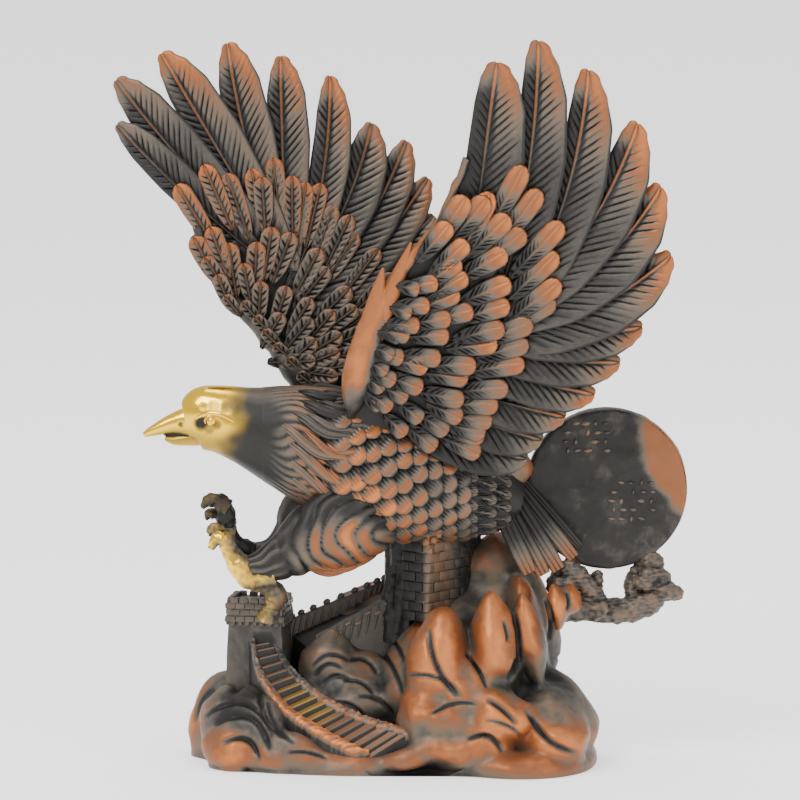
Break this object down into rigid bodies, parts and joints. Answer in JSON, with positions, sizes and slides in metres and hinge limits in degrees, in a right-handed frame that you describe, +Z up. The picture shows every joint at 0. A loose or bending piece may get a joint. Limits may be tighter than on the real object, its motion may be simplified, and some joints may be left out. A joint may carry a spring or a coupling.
{
  "type": "eagle ornament",
  "caption": "Cast eagle ornament: an eagle with raised wings over a rock base with a watchtower, stairs, a wall and a sun disc.",
  "frame": {"origin": "middle of the flat underside", "axes": "+Z up, the eagle looks along -X, and its left wing is towards -Y"},
  "size_m": [0.2582, 0.1114, 0.3294],
  "materials": {
    "patinated_copper": "dark patina with a satin copper rub on the high spots"
  },
  "bodies": {
    "root": {"eagle_ornament": "patinated_copper"}
  },
  "joints": []
}
